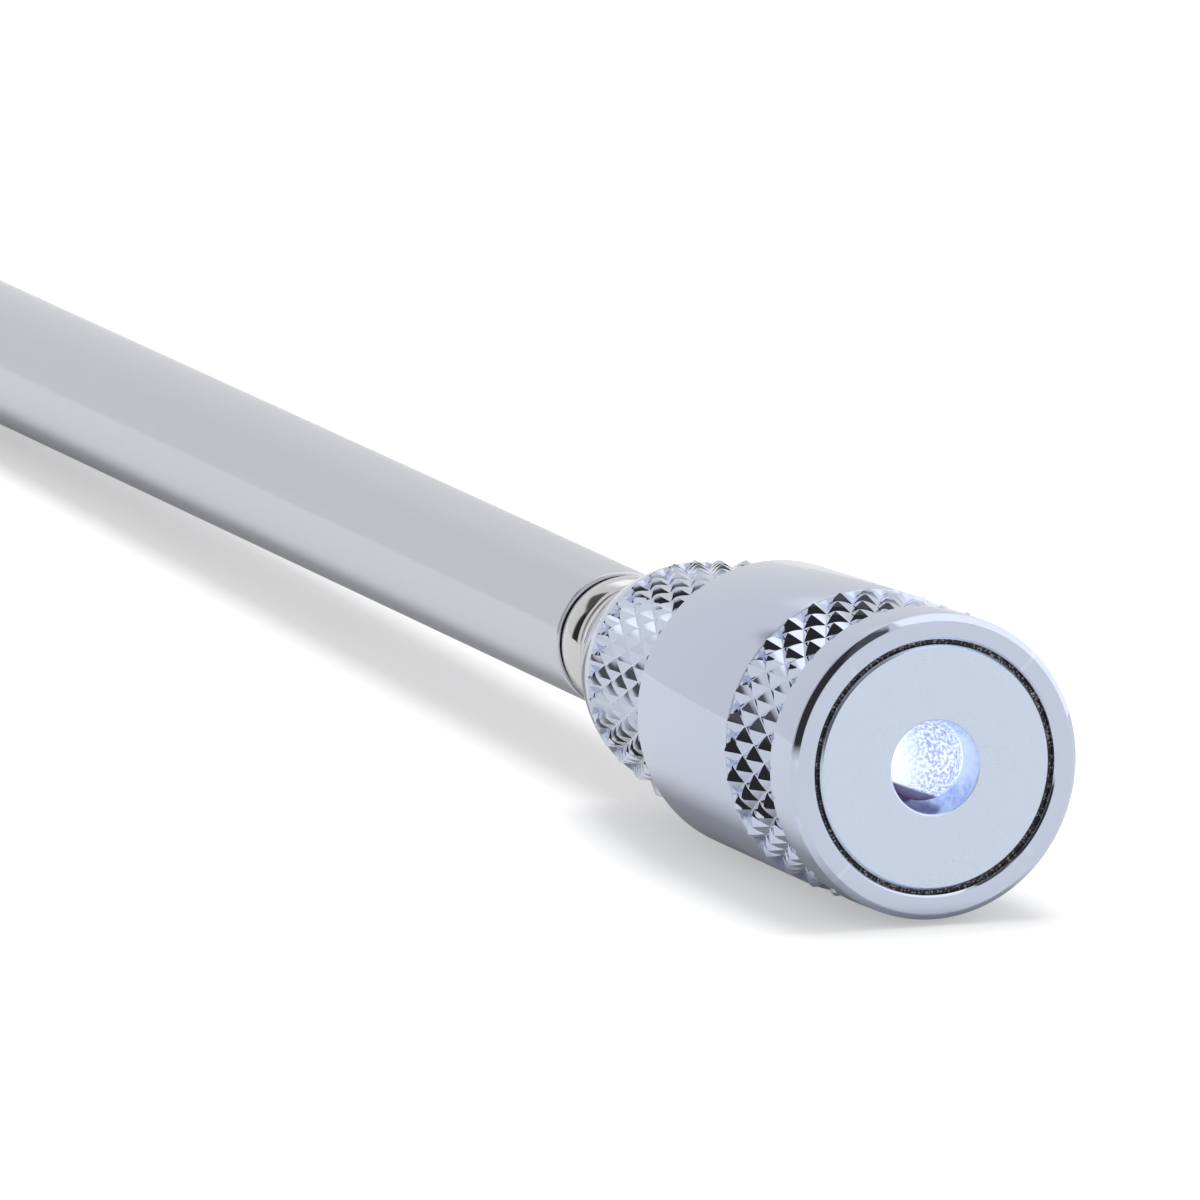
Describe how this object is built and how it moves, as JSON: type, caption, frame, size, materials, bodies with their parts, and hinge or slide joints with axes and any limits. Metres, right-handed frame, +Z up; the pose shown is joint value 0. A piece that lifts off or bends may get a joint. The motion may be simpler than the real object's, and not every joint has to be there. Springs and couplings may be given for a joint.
{
  "type": "telescopic magnetic pick-up tool",
  "caption": "Telescopic pick-up tool, closed: a knurled chromed head with a ring magnet round a lamp, on a sliding tubular rod.",
  "frame": {"origin": "under the middle of the closed tool, on the surface it lies on; the head's axis is parallel to Y", "axes": "the magnet looks towards -Y, the telescopic rod runs to +Y and 3.6 degrees towards +X, +Z is up"},
  "size_m": [0.0232, 0.1938, 0.0178],
  "materials": {
    "head_chrome": "bright chrome plate, cool tint",
    "neck_steel": "polished steel",
    "tube_steel": "drawn tube, polished",
    "cap_chrome": "bright chrome plate",
    "magnet_nickel": "nickel plate, satin",
    "adhesive_black": "rough dark adhesive",
    "led_epoxy": "clear epoxy, lit",
    "lead_tin": "tinned wire",
    "holder_white": "moulded",
    "contact_brass": "stamped strip",
    "cell_steel": "drawn can",
    "carrier_black": "moulded",
    "spring_steel": "spring wire",
    "sleeve_brass": "rolled strip"
  },
  "bodies": {
    "handle": {"outer_tube": "tube_steel", "end_cap": "cap_chrome"},
    "section_1": {"stage_tube_1": "tube_steel", "friction_sleeve_1": "sleeve_brass"},
    "section_2": {"stage_tube_2": "tube_steel", "friction_sleeve_2": "sleeve_brass"},
    "section_3": {"stage_tube_3": "tube_steel", "friction_sleeve_3": "sleeve_brass"},
    "section_4": {"stage_tube_4": "tube_steel", "friction_sleeve_4": "sleeve_brass"},
    "section_5": {"stage_tube_5": "tube_steel", "friction_sleeve_5": "sleeve_brass"},
    "rod": {"inner_rod": "tube_steel", "neck_ferrule": "neck_steel", "friction_sleeve_6": "sleeve_brass"},
    "head": {"tail_cap": "head_chrome", "barrel": "head_chrome", "battery_carrier": "carrier_black", "contact_spring": "spring_steel", "button_cell_1": "cell_steel", "button_cell_2": "cell_steel", "button_cell_3": "cell_steel", "contact_disc": "contact_brass", "led_holder": "holder_white", "led_lens": "led_epoxy", "led_anode_lead": "lead_tin", "led_cathode_lead": "lead_tin"},
    "bezel": {"front_bezel": "head_chrome", "ring_magnet": "magnet_nickel", "magnet_adhesive": "adhesive_black"}
  },
  "joints": [
    {"name": "section_1_slide", "type": "slide", "parent": "handle", "child": "section_1", "axis": [-0.0628, -0.998, 0], "range_m": [0, 0.1168]},
    {"name": "section_2_slide", "type": "slide", "parent": "section_1", "child": "section_2", "axis": [-0.0628, -0.998, 0], "range_m": [0, 0.1156]},
    {"name": "section_3_slide", "type": "slide", "parent": "section_2", "child": "section_3", "axis": [-0.0628, -0.998, 0], "range_m": [0, 0.1144]},
    {"name": "section_4_slide", "type": "slide", "parent": "section_3", "child": "section_4", "axis": [-0.0628, -0.998, 0], "range_m": [0, 0.1132]},
    {"name": "section_5_slide", "type": "slide", "parent": "section_4", "child": "section_5", "axis": [-0.0628, -0.998, 0], "range_m": [0, 0.112]},
    {"name": "rod_slide", "type": "slide", "parent": "section_5", "child": "rod", "axis": [-0.0628, -0.998, 0], "range_m": [0, 0.1108]},
    {"name": "head_swivel", "type": "hinge", "parent": "rod", "child": "head", "pos_m": [-0.00274, -0.06194, 0.0089], "axis": [0, -1, 0], "continuous": true},
    {"name": "bezel_twist", "type": "hinge", "parent": "head", "child": "bezel", "pos_m": [-0.00274, -0.0889, 0.0089], "axis": [0, -1, 0], "range_deg": [0, 90]}
  ]
}
